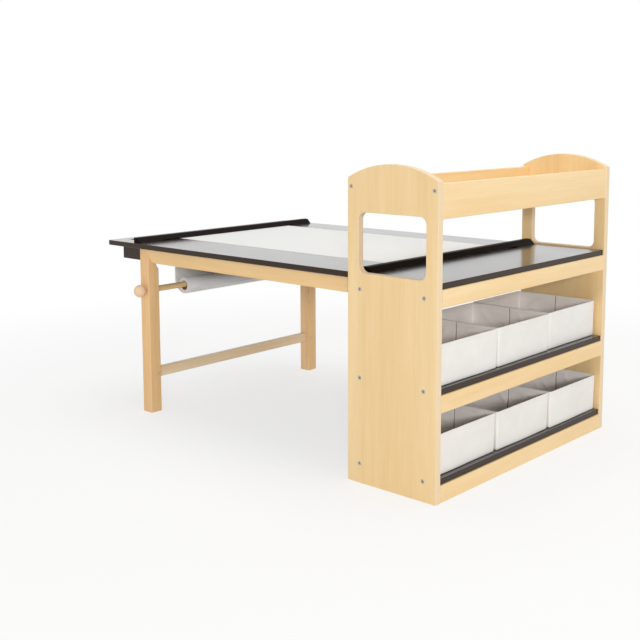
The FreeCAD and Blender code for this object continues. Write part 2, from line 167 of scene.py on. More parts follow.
def buildHandling():
    tree, into, out = newGroup("handlingMarks", [
        ("Vector", "NodeSocketVector", None), ("Cloud Size", "NodeSocketFloat", 0.12),
        ("Grit Size", "NodeSocketFloat", 0.0012),
    ], [("Cloud", "NodeSocketFloat"), ("Grit", "NodeSocketFloat")])
    vector = into.outputs["Vector"]
    cloudScale = maths(tree, "DIVIDE", 1.0, into.outputs["Cloud Size"])
    gritScale = maths(tree, "DIVIDE", 1.0, into.outputs["Grit Size"])
    cloud = noiseOf(tree, vector, cloudScale, detail=4, rough=0.6, distortion=0.4)
    grit = noiseOf(tree, vector, gritScale, detail=2, rough=0.6)
    tree.links.new(spread(tree, cloud, *handlingRange["cloud"]), out.inputs["Cloud"])
    tree.links.new(spread(tree, grit, *handlingRange["grit"]), out.inputs["Grit"])
    return tree


# a mask of the faces that look along an axis, so that edge bands differ from broad faces

facingRange = (0.75, 0.92)


def buildFacing():
    tree, into, out = newGroup("faceMask", [
        ("Normal", "NodeSocketVector", None), ("Axis", "NodeSocketVector", (0, 0, 1)),
    ], [("Mask", "NodeSocketFloat")])
    links = [(0, into.outputs["Normal"]), (1, into.outputs["Axis"])]
    dot = addNode(tree, "ShaderNodeVectorMath", links, operation="DOT_PRODUCT").outputs["Value"]
    tree.links.new(spread(tree, maths(tree, "ABSOLUTE", dot), *facingRange), out.inputs["Mask"])
    return tree


# pressed felt: long fibres lying every way, with dimples from the bonding roller

feltForm = {
    "unevenness": 0.25, "cloudScale": 18.0, "cloudShare": 0.6, "fibreShare": 0.4, "toneRange": (0.3, 0.7),
    "dimpleRange": (0.05, 0.4), "dimpleLift": 0.6, "fibreLift": 0.5,
}


def buildFelt():
    tree, into, out = newGroup("pressedFelt", [
        ("Vector", "NodeSocketVector", None), ("Dimple Size", "NodeSocketFloat", 0.0021),
        ("Fibre Size", "NodeSocketFloat", 0.0006),
    ], [("Tone", "NodeSocketFloat"), ("Height", "NodeSocketFloat")])
    vector, form = into.outputs["Vector"], feltForm
    dimpleScale = maths(tree, "DIVIDE", 1.0, into.outputs["Dimple Size"])
    fibreScale = maths(tree, "DIVIDE", 1.0, into.outputs["Fibre Size"])
    dimple = addNode(tree, "ShaderNodeTexVoronoi", [
        ("Vector", vector), ("Scale", dimpleScale), ("Randomness", form["unevenness"]),
    ], feature="F1").outputs["Distance"]
    fibre = noiseOf(tree, vector, fibreScale, detail=3, rough=0.7, distortion=1.2)
    cloud = noiseOf(tree, vector, form["cloudScale"], detail=3, rough=0.6)
    tone = plus(tree, times(tree, cloud, form["cloudShare"]), times(tree, fibre, form["fibreShare"]))
    tree.links.new(spread(tree, tone, *form["toneRange"]), out.inputs["Tone"])
    dent = spread(tree, dimple, *form["dimpleRange"])
    height = plus(tree, times(tree, dent, form["dimpleLift"]), times(tree, fibre, form["fibreLift"]))
    tree.links.new(height, out.inputs["Height"])
    return tree


woodFigure = buildWoodFigure()
handlingMarks = buildHandling()
faceMask = buildFacing()
pressedFelt = buildFelt()


def newMaterial(name):
    mat = bpy.data.materials.new(name)
    mat.use_nodes = True
    tree = mat.node_tree
    tree.nodes.clear()
    out = tree.nodes.new("ShaderNodeOutputMaterial")
    skin = tree.nodes.new("ShaderNodeBsdfPrincipled")
    tree.links.new(skin.outputs[0], out.inputs[0])
    coords = tree.nodes.new("ShaderNodeTexCoord")
    return mat, tree, skin, coords


def bumpInto(tree, skin, height, strength, distance):
    links = [("Height", height), ("Strength", strength), ("Distance", distance)]
    tree.links.new(addNode(tree, "ShaderNodeBump", links).outputs[0], skin.inputs["Normal"])


def marksOf(tree, coords, sizes):
    links = [("Vector", coords.outputs["Object"])]
    links += [("Cloud Size", sizes["cloudSize"]), ("Grit Size", sizes["gritSize"])]
    return placeGroup(tree, handlingMarks, links)


def facesAlong(tree, coords, axis):
    return placeGroup(tree, faceMask, [("Normal", coords.outputs["Normal"]), ("Axis", axis)]).outputs[0]


# wood finishes

grainTurn = {  # turns the named axis of the object onto the figure's X
    "x": (0.0, 0.0, 0.0),
    "y": (0.0, 0.0, math.radians(-90)),
    "z": (0.0, math.radians(90), 0.0),
}
woodSkin = {
    "cloudSize": 0.12, "gritSize": 0.0012, "handling": (-0.04, 0.04),
    "knobShare": 0.75, "reliefDepth": 0.0002,
}
mapleLook = {
    "pale": rgb(246, 219, 170), "deep": rgb(231, 193, 134), "streaks": 0.7, "fibres": 0.22, "flecks": 0.12,
    "rough": 0.42, "relief": 0.12, "gloss": 0.35,
}
panelLook = dict(mapleLook, edge=rgb(233, 210, 178), band=0.8, face=(0, 1, 0))
railLook = dict(mapleLook, pale=rgb(248, 221, 173), deep=rgb(233, 196, 138))
legLook = {
    "pale": rgb(250, 213, 162), "deep": rgb(229, 178, 116), "streaks": 0.8, "fibres": 0.25, "flecks": 0.18,
    "rough": 0.38, "relief": 0.2, "gloss": 0.4,
}
# the aprons take a paler copy of the leg wood: painted light that lifts them in the shade of the board's
# overhang
apronLitLook = dict(legLook, pale=rgb(250, 216, 162), deep=rgb(234, 189, 126))
# the stretcher and end apron take a paler copy of the leg wood: painted light that lifts parts lying in
# shade under the board
crossLitLook = dict(legLook, pale=rgb(253, 231, 196), deep=rgb(237, 199, 150))
dowelLook = {
    "pale": rgb(243, 214, 166), "deep": rgb(217, 172, 112), "streaks": 0.6, "fibres": 0.4, "flecks": 0.4,
    "rough": 0.5, "relief": 0.3, "gloss": 0.3, "knob": rgb(242, 211, 177), "knobFrom": -0.3512,
}


def woodMaterial(name, look, along, offset=(0.0, 0.0, 0.0)):
    mat, tree, skin, coords = newMaterial(name)
    turn = addNode(tree, "ShaderNodeMapping", [
        ("Vector", coords.outputs["Object"]), ("Rotation", grainTurn[along]), ("Location", offset),
    ])
    figure = placeGroup(tree, woodFigure, [
        ("Vector", turn.outputs[0]), ("Pale", look["pale"]), ("Deep", look["deep"]),
        ("Streaks", look["streaks"]), ("Fibres", look["fibres"]), ("Flecks", look["flecks"]),
    ])
    marks = marksOf(tree, coords, woodSkin)
    colour = figure.outputs["Color"]
    if "edge" in look:  # a plain band is glued on the edges of the board
        onEdge = maths(tree, "SUBTRACT", 1.0, facesAlong(tree, coords, look["face"]), clamp=True)
        colour = mixColours(tree, times(tree, onEdge, look["band"]), colour, look["edge"])
    if "knob" in look:  # the turned ball is of a paler wood than the rod
        place = addNode(tree, "ShaderNodeSeparateXYZ", [(0, coords.outputs["Object"])])
        ball = maths(tree, "LESS_THAN", place.outputs[1], look["knobFrom"])
        colour = mixColours(tree, times(tree, ball, woodSkin["knobShare"]), colour, look["knob"])
    tree.links.new(colour, skin.inputs["Base Color"])
    rough = plus(tree, plus(tree, look["rough"], figure.outputs["Rough"]),
                 spread(tree, marks.outputs["Cloud"], 0, 1, *woodSkin["handling"]))
    tree.links.new(rough, skin.inputs["Roughness"])
    skin.inputs["Specular IOR Level"].default_value = look["gloss"]
    bumpInto(tree, skin, figure.outputs["Height"], look["relief"], woodSkin["reliefDepth"])
    return mat


maplePanel = woodMaterial("maplePanel", panelLook, "z")
mapleRail = woodMaterial("mapleRail", railLook, "y", (0.0, 0.21, 0.13))
legWood = woodMaterial("legWood", legLook, "z", (0.4, 0.11, 0.31))
apronLitWood = woodMaterial("apronLitWood", apronLitLook, "x", (0.7, 0.05, 0.2))
crossLitWood = woodMaterial("crossLitWood", crossLitLook, "y", (0.15, 0.4, 0.6))
dowelWood = woodMaterial("dowelWood", dowelLook, "y", (0.05, 0.3, 0.2))


# dark boards and bars

darkSkin = {
    "cloudSize": 0.16, "gritSize": 0.0016, "gritShade": 0.2, "cloudRough": (-0.02, 0.03),
    "gritRough": (-0.01, 0.01), "coatRough": 0.16, "relief": 0.04, "reliefDepth": 0.0001, "face": (0, 0, 1),
}
boardLook = {"top": rgb(42, 31, 25), "edge": rgb(52, 37, 27), "rough": 0.22, "gloss": 0.25, "coat": 0.8}
barLook = {"top": rgb(22, 14, 11), "edge": rgb(24, 16, 12), "rough": 0.5, "gloss": 0.05, "coat": 0.0}


def darkMaterial(name, look):
    mat, tree, skin, coords = newMaterial(name)
    marks = marksOf(tree, coords, darkSkin)
    cloud, grit = marks.outputs["Cloud"], marks.outputs["Grit"]
    onFace = facesAlong(tree, coords, darkSkin["face"])
    top = mixColours(tree, times(tree, grit, darkSkin["gritShade"]), look["top"], look["edge"])
    tree.links.new(mixColours(tree, onFace, look["edge"], top), skin.inputs["Base Color"])
    uneven = plus(tree, spread(tree, cloud, 0, 1, *darkSkin["cloudRough"]),
                  spread(tree, grit, 0, 1, *darkSkin["gritRough"]))
    tree.links.new(plus(tree, look["rough"], uneven), skin.inputs["Roughness"])
    skin.inputs["Specular IOR Level"].default_value = look["gloss"]
    if look["coat"]:
        tree.links.new(times(tree, onFace, look["coat"]), skin.inputs["Coat Weight"])
    skin.inputs["Coat Roughness"].default_value = darkSkin["coatRough"]
    bumpInto(tree, skin, grit, darkSkin["relief"], darkSkin["reliefDepth"])
    return mat


espressoBoard = darkMaterial("espressoBoard", boardLook)
blackBar = darkMaterial("blackBar", barLook)


# zinc-plated steel

steelSkin = {
    "cloudSize": 0.006, "gritSize": 0.0004, "dullShare": 0.72, "metal": 0.9, "gritRough": (-0.07, 0.1),
    "relief": 0.12, "reliefDepth": 0.0001,
}
screwLook = {"colour": rgb(205, 203, 197), "rough": 0.34}
plateLook = {"colour": rgb(188, 188, 187), "rough": 0.42}


def steelMaterial(name, look):
    mat, tree, skin, coords = newMaterial(name)
    marks = marksOf(tree, coords, steelSkin)
    dull = tuple(c * steelSkin["dullShare"] for c in look["colour"][:3]) + (1.0,)
    colour = mixColours(tree, marks.outputs["Cloud"], dull, look["colour"])
    tree.links.new(colour, skin.inputs["Base Color"])
    skin.inputs["Metallic"].default_value = steelSkin["metal"]
    uneven = spread(tree, marks.outputs["Grit"], 0, 1, *steelSkin["gritRough"])
    tree.links.new(plus(tree, look["rough"], uneven), skin.inputs["Roughness"])
    bumpInto(tree, skin, marks.outputs["Grit"], steelSkin["relief"], steelSkin["reliefDepth"])
    return mat


zincScrew = steelMaterial("zincScrew", screwLook)
zincPlate = steelMaterial("zincPlate", plateLook)


# bin cloth, lining and thread

# the dark colour here is painted shade, laid on the lining's inner corners and on the folds half way along
# two walls
feltSkin = {
    "creaseShade": rgb(84, 76, 72), "creaseShadeRange": (0.35, 0.9), "creaseShadeShare": 0.8, "roughRange": (0.93, 0.82),
    "gloss": 0.2, "sheen": 0.15, "reliefDepth": 0.0003,
}
outsideLook = {"pale": rgb(240, 237, 233), "deep": rgb(230, 227, 222), "relief": 0.35, "creaseShaded": False}
liningLook = {"pale": rgb(253, 248, 244), "deep": rgb(243, 236, 231), "relief": 0.45, "creaseShaded": True}
threadLook = {"pale": rgb(236, 233, 228), "deep": rgb(220, 216, 210), "relief": 0.2, "creaseShaded": False}


def feltMaterial(name, look):
    mat, tree, skin, coords = newMaterial(name)
    felt = placeGroup(tree, pressedFelt, [("Vector", coords.outputs["Object"])])
    colour = mixColours(tree, felt.outputs["Tone"], look["deep"], look["pale"])
    # the lining gets a dark line of painted shade at its inner corners and wall folds, read from the mesh's
    # shade mask
    if look["creaseShaded"]:
        sewn = addNode(tree, "ShaderNodeAttribute", attribute_name="creaseShade").outputs["Fac"]
        share = spread(tree, sewn, *feltSkin["creaseShadeRange"], 0, feltSkin["creaseShadeShare"])
        colour = mixColours(tree, share, colour, feltSkin["creaseShade"])
    tree.links.new(colour, skin.inputs["Base Color"])
    rough = spread(tree, felt.outputs["Tone"], 0, 1, *feltSkin["roughRange"])
    tree.links.new(rough, skin.inputs["Roughness"])
    skin.inputs["Specular IOR Level"].default_value = feltSkin["gloss"]
    skin.inputs["Sheen Weight"].default_value = feltSkin["sheen"]
    bumpInto(tree, skin, felt.outputs["Height"], look["relief"], feltSkin["reliefDepth"])
    return mat


binOutside = feltMaterial("binOutside", outsideLook)
binLining = feltMaterial("binLining", liningLook)
binThread = feltMaterial("binThread", threadLook)


# paper and the roll's core

paperSkin = {
    "cloudSize": 0.05, "gritSize": 0.0009, "cloudShare": 0.2, "gritShare": 0.6, "gritRough": (-0.05, 0.05),
    "gloss": 0.3, "reliefDepth": 0.0002,
}
sheetLook = {"pale": rgb(241, 241, 239), "deep": rgb(234, 234, 231), "rough": 0.72, "relief": 0.12}
rollLook = {"pale": rgb(238, 236, 238), "deep": rgb(222, 220, 222), "rough": 0.75, "relief": 0.15}
coreLook = {"pale": rgb(176, 146, 112), "deep": rgb(140, 112, 82), "rough": 0.85, "relief": 0.4}


def paperMaterial(name, look):
    mat, tree, skin, coords = newMaterial(name)
    marks = marksOf(tree, coords, paperSkin)
    cloud, grit = marks.outputs["Cloud"], marks.outputs["Grit"]
    blend = plus(tree, times(tree, cloud, paperSkin["cloudShare"]),
                 times(tree, grit, paperSkin["gritShare"]))
    tree.links.new(mixColours(tree, blend, look["deep"], look["pale"]), skin.inputs["Base Color"])
    uneven = spread(tree, grit, 0, 1, *paperSkin["gritRough"])
    tree.links.new(plus(tree, look["rough"], uneven), skin.inputs["Roughness"])
    skin.inputs["Specular IOR Level"].default_value = paperSkin["gloss"]
    bumpInto(tree, skin, grit, look["relief"], paperSkin["reliefDepth"])
    return mat


artPaper = paperMaterial("artPaper", sheetLook)
rollPaper = paperMaterial("rollPaper", rollLook)
coreBoard = paperMaterial("coreBoard", coreLook)
print("finishes built:", len(bpy.data.materials))


finishOf = {
    maplePanel: ["near_side_panel", "far_side_panel"],
    mapleRail: ["trough_front_board", "trough_back_board", "trough_floor",
                "mid_front_fascia", "mid_front_support_rail", "mid_back_support_rail",
                "middle_front_fascia", "middle_back_fascia", "bottom_front_plinth", "bottom_back_plinth"],
    legWood: ["near_leg", "far_leg"],
    apronLitWood: ["front_apron", "rear_apron"],
    crossLitWood: ["end_apron", "leg_stretcher"],
    dowelWood: ["roll_dowel"],
    espressoBoard: ["tabletop", "mid_shelf", "middle_shelf", "bottom_shelf",
                    "tray_left_wall", "tray_right_wall", "tray_near_end", "tray_far_end", "tray_floor"],
    blackBar: ["left_tear_bar", "right_tear_bar"],
    zincScrew: ["near_panel_screws", "far_panel_screws", "stretcher_screws", "hanger_bolts", "hanger_nuts"],
    zincPlate: ["near_corner_plate", "far_corner_plate", "apron_brackets"],
    coreBoard: ["paper_core"],
}
for finish, names in finishOf.items():
    for name in names:
        nodes[name].material_slots[0].material = finish


def addPiece(name, mesh, body, stands=()):
    piece = bpy.data.objects.new(name, mesh)
    scene.collection.objects.link(piece)
    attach(piece, body)
    if stands:
        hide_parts(*stands)
    return piece


# fabric bins: boards behind cloth, with a loose lining and a fold half way along two walls

fabricBin = {
    "wall": 0.0030, "corner": 0.0065, "rimBand": 0.010, "floor": 0.0062,
    "sideSteps": 60, "cornerSteps": 6, "outsideRows": 11, "liningRows": 26,
    "cornerShade": 0.45, "creaseShadeBelow": 0.002, "stitchUp": 0.0032, "stitchOff": 0.0001,
    "edges": {  # small steps of the shell's profile: in from the wall's face, and up
        "foot": ((0.0042, 0.0), (0.0017, 0.0007), (0.0004, 0.0022)), "wallFrom": 0.0045, "wallShort": 0.006,
        "hemDip": 0.0002, "hemStep": 0.0012, "hemTuck": 0.0006,
        "rimFrom": 0.0022, "rimInset": 0.0005, "rimDrop": 0.0006,
        "liningIn": 0.0001, "liningTop": 0.0024, "liningFrom": 0.0022,
        "heel": ((0.0006, 0.0005), (0.0025, 0.0)),
    },
    "lean": {"most": 0.0042, "grain": 9, "seed": 5.3, "power": 1.3},
    "bulge": {"most": 0.0009, "inside": 0.4, "outside": -0.3},
    "ripple": {"most": 0.0005, "grain": 14, "upGrain": 16},
    "hinge": {
        "depth": 0.0016, "half": 0.0007, "clear": 3.5, "rows": (-2.2, -1.0, 1.0, 2.2), "reach": 1.1,
        "outside": 0.0004, "fade": 0.3, "hemShare": 0.4,
    },
    "crease": {
        "depth": 0.0012, "longGrain": (16, 26, 7), "longSeed": 3.1, "longShare": 0.7,
        "fineGrain": (41, 60, 23), "fineSeed": 7.7, "fineShare": 0.3,
        "above": 0.003, "openGain": 2.2, "fade": 0.4,
    },
    "folds": {
        "perSide": 8, "place": (-0.1, 0.1), "height": (0.02, 0.085), "turn": (-1.2, 1.2),
        "length": (0.016, 0.045), "width": (0.0040, 0.0080), "depth": (0.0014, 0.0034),
        "bend": 0.3, "limit": 0.0038,
    },
    "pad": {"rings": ((0.9, 0.0004), (0.45, 0.0011)), "grain": 19, "seed": 3.0, "dimple": 0.0006},
}


def sideShares(length, hinged):
    steps, hinge = fabricBin["sideSteps"], fabricBin["hinge"]
    shares = [step / steps for step in range(1, steps)]
    if hinged:  # close rows of points where the wall folds
        half = hinge["half"] / length
        shares = [s for s in shares if s == 0.5 or abs(s - 0.5) > hinge["clear"] * half]
        shares += [0.5 + half * k for k in hinge["rows"]]
    return sorted(shares)


def roundedLoop(halfX, halfY):
    radius, cornerSteps = fabricBin["corner"], fabricBin["cornerSteps"]
    hinge, loop = fabricBin["hinge"], []
    centres = [(halfX - radius, halfY - radius, 0), (-halfX + radius, halfY - radius, 90),
               (-halfX + radius, -halfY + radius, 180), (halfX - radius, -halfY + radius, 270)]
    for side, (cx, cy, start) in enumerate(centres):
        for step in range(cornerSteps + 1):
            angle = math.radians(start + 90 * step / cornerSteps)
            out = Vector((math.cos(angle), math.sin(angle)))
            # the middle point of each corner carries a share of painted shade
            creaseShade = fabricBin["cornerShade"] if step == cornerSteps // 2 else 0.0
            loop.append({"at": Vector((cx, cy)) + out * radius, "out": out, "open": 0.0, "along": 0.0,
                         "side": side, "creaseShade": creaseShade, "hinge": 0.0})
        nextX, nextY = centres[(side + 1) % 4][:2]
        out = Vector((math.cos(math.radians(start + 90)), math.sin(math.radians(start + 90))))
        first, last = Vector((cx, cy)) + out * radius, Vector((nextX, nextY)) + out * radius
        length, hinged = (last - first).length, abs(out.y) > 0.5
        for share in sideShares(length, hinged):
            along = (share - 0.5) * length
            # the fold line carries full painted shade, besides the hinge groove in the geometry
            line = 1.0 if hinged and abs(along) < hinge["reach"] * hinge["half"] else 0.0
            loop.append({"at": first.lerp(last, share), "out": out, "open": math.sin(math.pi * share),
                         "along": along, "side": side, "creaseShade": line, "hinge": line})
    return loop


def creaseOf(place, z, seed):
    spec = fabricBin["crease"]
    where = Vector((place.x + place.y, place.x - place.y, z))
    wide, lift, run = spec["longGrain"]
    drift = where.x * wide + where.z * lift + seed * spec["longSeed"]
    long = noise.noise(Vector((drift, where.y * run, seed)))
    wide, lift, run = spec["fineGrain"]
    drift = where.x * wide - where.z * lift
    fine = noise.noise(Vector((drift, where.y * run, seed + spec["fineSeed"])))
    return spec["longShare"] * (1 + long) / 2 + spec["fineShare"] * (1 + fine) / 2


def foldsOf(seed):
    dice, spec = random.Random(seed), fabricBin["folds"]
    return [[{"along": dice.uniform(*spec["place"]), "up": dice.uniform(*spec["height"]),
              "turn": dice.uniform(*spec["turn"]), "long": dice.uniform(*spec["length"]),
              "wide": dice.uniform(*spec["width"]), "deep": dice.uniform(*spec["depth"])}
             for fold in range(spec["perSide"])] for side in range(4)]


def foldAt(folds, along, z):
    spec, total = fabricBin["folds"], 0.0
    for fold in folds:  # a crest that is sharp across and dies away along
        du, dv = along - fold["along"], z - fold["up"]
        cosTurn, sinTurn = math.cos(fold["turn"]), math.sin(fold["turn"])
        run = du * cosTurn + dv * sinTurn
        across = dv * cosTurn - du * sinTurn + spec["bend"] * run * run / fold["long"]
        total += fold["deep"] * math.exp(-(run / fold["long"]) ** 2 - abs(across) / fold["wide"])
    return min(total, spec["limit"])


def binRows(height):
    spec, edge = fabricBin, fabricBin["edges"]
    wall, floor, hem = spec["wall"], spec["floor"], height - spec["rimBand"]
    lining, rimLow = wall + edge["liningIn"], height - edge["rimDrop"]
    rows = [(inset, z, "out") for inset, z in edge["foot"]]
    for step in range(spec["outsideRows"]):
        z = edge["wallFrom"] + (hem - edge["wallShort"]) * step / (spec["outsideRows"] - 1)
        rows.append((0.0, z, "out"))
    rows += [(edge["hemDip"], hem, "out"), (0.0, hem + edge["hemStep"], "out"),
             (0.0, height - edge["rimFrom"], "out"), (edge["rimInset"], rimLow, "out"),
             (wall / 2, height, "rim"), (wall - edge["rimInset"], rimLow, "rim"),
             (lining, height - edge["liningTop"], "in"), (lining, hem, "in"),
             (wall - edge["hemTuck"], hem - edge["hemStep"], "in")]
    for step in range(spec["liningRows"]):
        share = 1 - step / (spec["liningRows"] - 1)
        z = floor + edge["liningFrom"] + (hem - floor - edge["wallShort"]) * share
        rows.append((wall, z, "in"))
    return rows + [(wall + inset, floor + up, "in") for inset, up in edge["heel"]]


def binPoint(spot, row, height, seed, folds):
    inset, z, kind = row
    place, spec, hem = spot["at"], fabricBin, height - fabricBin["rimBand"]
    lean, bulge, ripple, hinge, crease = (spec[k] for k in ("lean", "bulge", "ripple", "hinge", "crease"))
    low = 1 - min(max(z / height, 0), 1)
    bow = math.sin(math.pi * low)
    grain = lean["grain"]
    slack = (1 + noise.noise(Vector((place.x * grain, place.y * grain, seed * lean["seed"])))) / 2
    push = -inset - lean["most"] * slack * low ** lean["power"]
    push += bulge["most"] * bow * spot["open"] * (bulge["inside"] if kind == "in" else bulge["outside"])
    if kind == "out":  # the stiff board behind the cloth keeps it nearly flat
        grain = ripple["grain"]
        wave = noise.noise(Vector((place.x * grain, place.y * grain, z * ripple["upGrain"] + seed)))
        push -= ripple["most"] * bow * (1 + wave) / 2
        push -= hinge["outside"] * spot["hinge"] * bow ** hinge["fade"]
    if kind == "in" and spec["floor"] + crease["above"] < z < hem:
        loose = min(1.0, spot["open"] * crease["openGain"]) * bow ** crease["fade"]
        fold = foldAt(folds[spot["side"]], spot["along"], z)
        push -= (crease["depth"] * creaseOf(place, z, seed) + fold) * loose
    if kind == "in":
        push += hinge["depth"] * spot["hinge"] * (1.0 if z < hem else hinge["hemShare"])
    return place + spot["out"] * push


def closeFloor(mesh, ring, inside, middle, base, seed):
    count, pad = len(ring), fabricBin["pad"]
    for shrink, lift in pad["rings"]:
        inner = []
        for vert in ring:
            way = (vert.co - Vector((middle.x, middle.y, vert.co.z))) * shrink
            grain = Vector((way.x * pad["grain"], way.y * pad["grain"], seed + pad["seed"]))
            up = (fabricBin["floor"] + lift + noise.noise(grain) * pad["dimple"]) * inside
            inner.append(mesh.verts.new((middle.x + way.x, middle.y + way.y, base + up)))
        for i in range(count):
            corners = (ring[i], ring[(i + 1) % count], inner[(i + 1) % count], inner[i])
            face = mesh.faces.new(corners if inside else tuple(reversed(corners)))
            face.material_index = inside
            face.smooth = bool(inside)
        ring = inner
    cap = mesh.faces.new(ring if inside else list(reversed(ring)))
    cap.material_index = inside


def makeBin(name, seed):
    lo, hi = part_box(name)
    middle, height = (lo + hi) / 2, hi.z - lo.z
    spec = fabricBin
    loop = roundedLoop((hi.x - lo.x) / 2, (hi.y - lo.y) / 2)
    rows, folds = binRows(height), foldsOf(seed)
    mesh = bmesh.new()
    # a mask of painted shade for the lining's corners and folds
    creaseShade = mesh.verts.layers.float.new("creaseShade")
    rings = []
    for row in rows:
        # only lining rows below the rim take the painted shade
        sewn = row[2] == "in" and row[1] < height - spec["creaseShadeBelow"]
        ring = []
        for spot in loop:
            flat = binPoint(spot, row, height, seed, folds)
            vert = mesh.verts.new((middle.x + flat.x, middle.y + flat.y, lo.z + row[1]))
            vert[creaseShade] = spot["creaseShade"] if sewn else 0.0
            ring.append(vert)
        rings.append(ring)
    count = len(loop)
    for upper, lower, row in zip(rings[1:], rings, rows[1:]):
        for i in range(count):
            face = mesh.faces.new((lower[i], lower[(i + 1) % count], upper[(i + 1) % count], upper[i]))
            face.material_index = 1 if row[2] == "in" else 0
            face.smooth = True
    closeFloor(mesh, rings[0], 0, middle, lo.z, seed)
    closeFloor(mesh, rings[-1], 1, middle, lo.z, seed)
    data = bpy.data.meshes.new(name + "Cloth")
    mesh.to_mesh(data)
    mesh.free()
    data.materials.append(binOutside)
    data.materials.append(binLining)
    z, off = hi.z - spec["rimBand"] + spec["stitchUp"], spec["stitchOff"]
    rim = [(middle.x + spot["at"].x + spot["out"].x * off, middle.y + spot["at"].y + spot["out"].y * off, z)
           for spot in loop]
    return data, rim


# what repeats is grown by Geometry Nodes

def newGrowth(name, sizes):
    tree = bpy.data.node_groups.new(name, "GeometryNodeTree")
    tree.is_modifier = True
    tree.interface.new_socket(name="Geometry", in_out="INPUT", socket_type="NodeSocketGeometry")
    for label, value in sizes.items():
        sock = tree.interface.new_socket(name=label, in_out="INPUT", socket_type="NodeSocketFloat")
        sock.default_value = value
    tree.interface.new_socket(name="Geometry", in_out="OUTPUT", socket_type="NodeSocketGeometry")
    return tree, tree.nodes.new("NodeGroupInput"), tree.nodes.new("NodeGroupOutput")


def endGrowth(tree, instances, material, out):
    real = addNode(tree, "GeometryNodeRealizeInstances", [(0, instances)])
    links = [("Geometry", real.outputs[0]), ("Material", material)]
    paint = addNode(tree, "GeometryNodeSetMaterial", links)
    tree.links.new(paint.outputs[0], out.inputs[0])


def grownMesh(name, seedMesh, tree, sizes):
    seedObject = bpy.data.objects.new(name + "Seed", seedMesh)
    scene.collection.objects.link(seedObject)
    grow = seedObject.modifiers.new("grow", "NODES")
    grow.node_group = tree
    for item in tree.interface.items_tree:
        if item.in_out == "INPUT" and item.name in sizes:
            grow[item.identifier] = sizes[item.name]
    bpy.context.view_layer.update()
    graph = bpy.context.evaluated_depsgraph_get()
    mesh = bpy.data.meshes.new_from_object(seedObject.evaluated_get(graph))
    mesh.name = name
    seedObject.modifiers.remove(grow)
    bpy.data.objects.remove(seedObject)
    return mesh


# stitches along a closed line

stitches = {
    "sizes": {"Pitch": 0.0042, "Length": 0.0029, "Thread": 0.00032},
    "bead": {"Segments": 8, "Rings": 6, "Radius": 1.0},
}


def buildStitchTree(material):
    tree, into, out = newGrowth("stitchRow", stitches["sizes"])
    path = addNode(tree, "GeometryNodeMeshToCurve", [(0, into.outputs["Geometry"])])
    links = [(0, path.outputs[0]), ("Length", into.outputs["Pitch"])]
    even = addNode(tree, "GeometryNodeResampleCurve", links, mode="LENGTH")
    tangent = addNode(tree, "GeometryNodeInputTangent")
    align = addNode(tree, "FunctionNodeAlignRotationToVector", [("Vector", tangent.outputs[0])], axis="X")
    bead = addNode(tree, "GeometryNodeMeshUVSphere", stitches["bead"].items())
    half, thread = times(tree, into.outputs["Length"], 0.5), into.outputs["Thread"]
    size = addNode(tree, "ShaderNodeCombineXYZ", [(0, half), (1, thread), (2, thread)])
    sewn = addNode(tree, "GeometryNodeInstanceOnPoints", [
        ("Points", even.outputs[0]), ("Instance", bead.outputs[0]),
        ("Rotation", align.outputs[0]), ("Scale", size.outputs[0]),
    ])
    endGrowth(tree, sewn.outputs[0], material, out)
    return tree


stitchRow = buildStitchTree(binThread)
seedNumber = 0
for row in ("upper", "lower"):
    for side in ("near", "middle", "far"):
        seedNumber += 1
        node = row + "_" + side + "_bin"
        title = row + side.capitalize() + "Bin"
        cloth, rim = makeBin(node, seedNumber)
        addPiece(title, cloth, node + "_body", (node, node + "_base"))
        line = bpy.data.meshes.new(title + "Rim")
        line.from_pydata(rim, [(i, (i + 1) % len(rim)) for i in range(len(rim))], [])
        sewing = grownMesh(title + "Stitches", line, stitchRow, stitches["sizes"])
        addPiece(title + "Stitches", sewing, node + "_body")
print("bins sewn")


# paper: one web from under the roll, by a slack turn behind it, up through the slot and over the board

webPaper = {
    "gap": 0.00005, "thick": 0.00020, "bend": 0.003, "clear": 0.0003, "ripple": 0.00035, "across": 60,
    "stepAlong": 0.008, "wrap": 70, "wrapSteps": 12, "slackSteps": 14, "riseSteps": 20, "bendSteps": 8,
    "slackInset": 0.0006, "slotInset": 0.0012, "headInset": 0.0002, "endInset": 0.0005,
    "footPull": (-0.0012, 0, 0.054), "headPull": (-0.0044, 0, -0.034),
    "leftBar": -0.45, "leftRun": 0.08, "rightBar": 0.355, "rightRun": 0.06, "edgeRun": 0.04,
    "grainX": 5, "grainY": 7, "grainSeed": 0.3, "level": 1e-6,
}


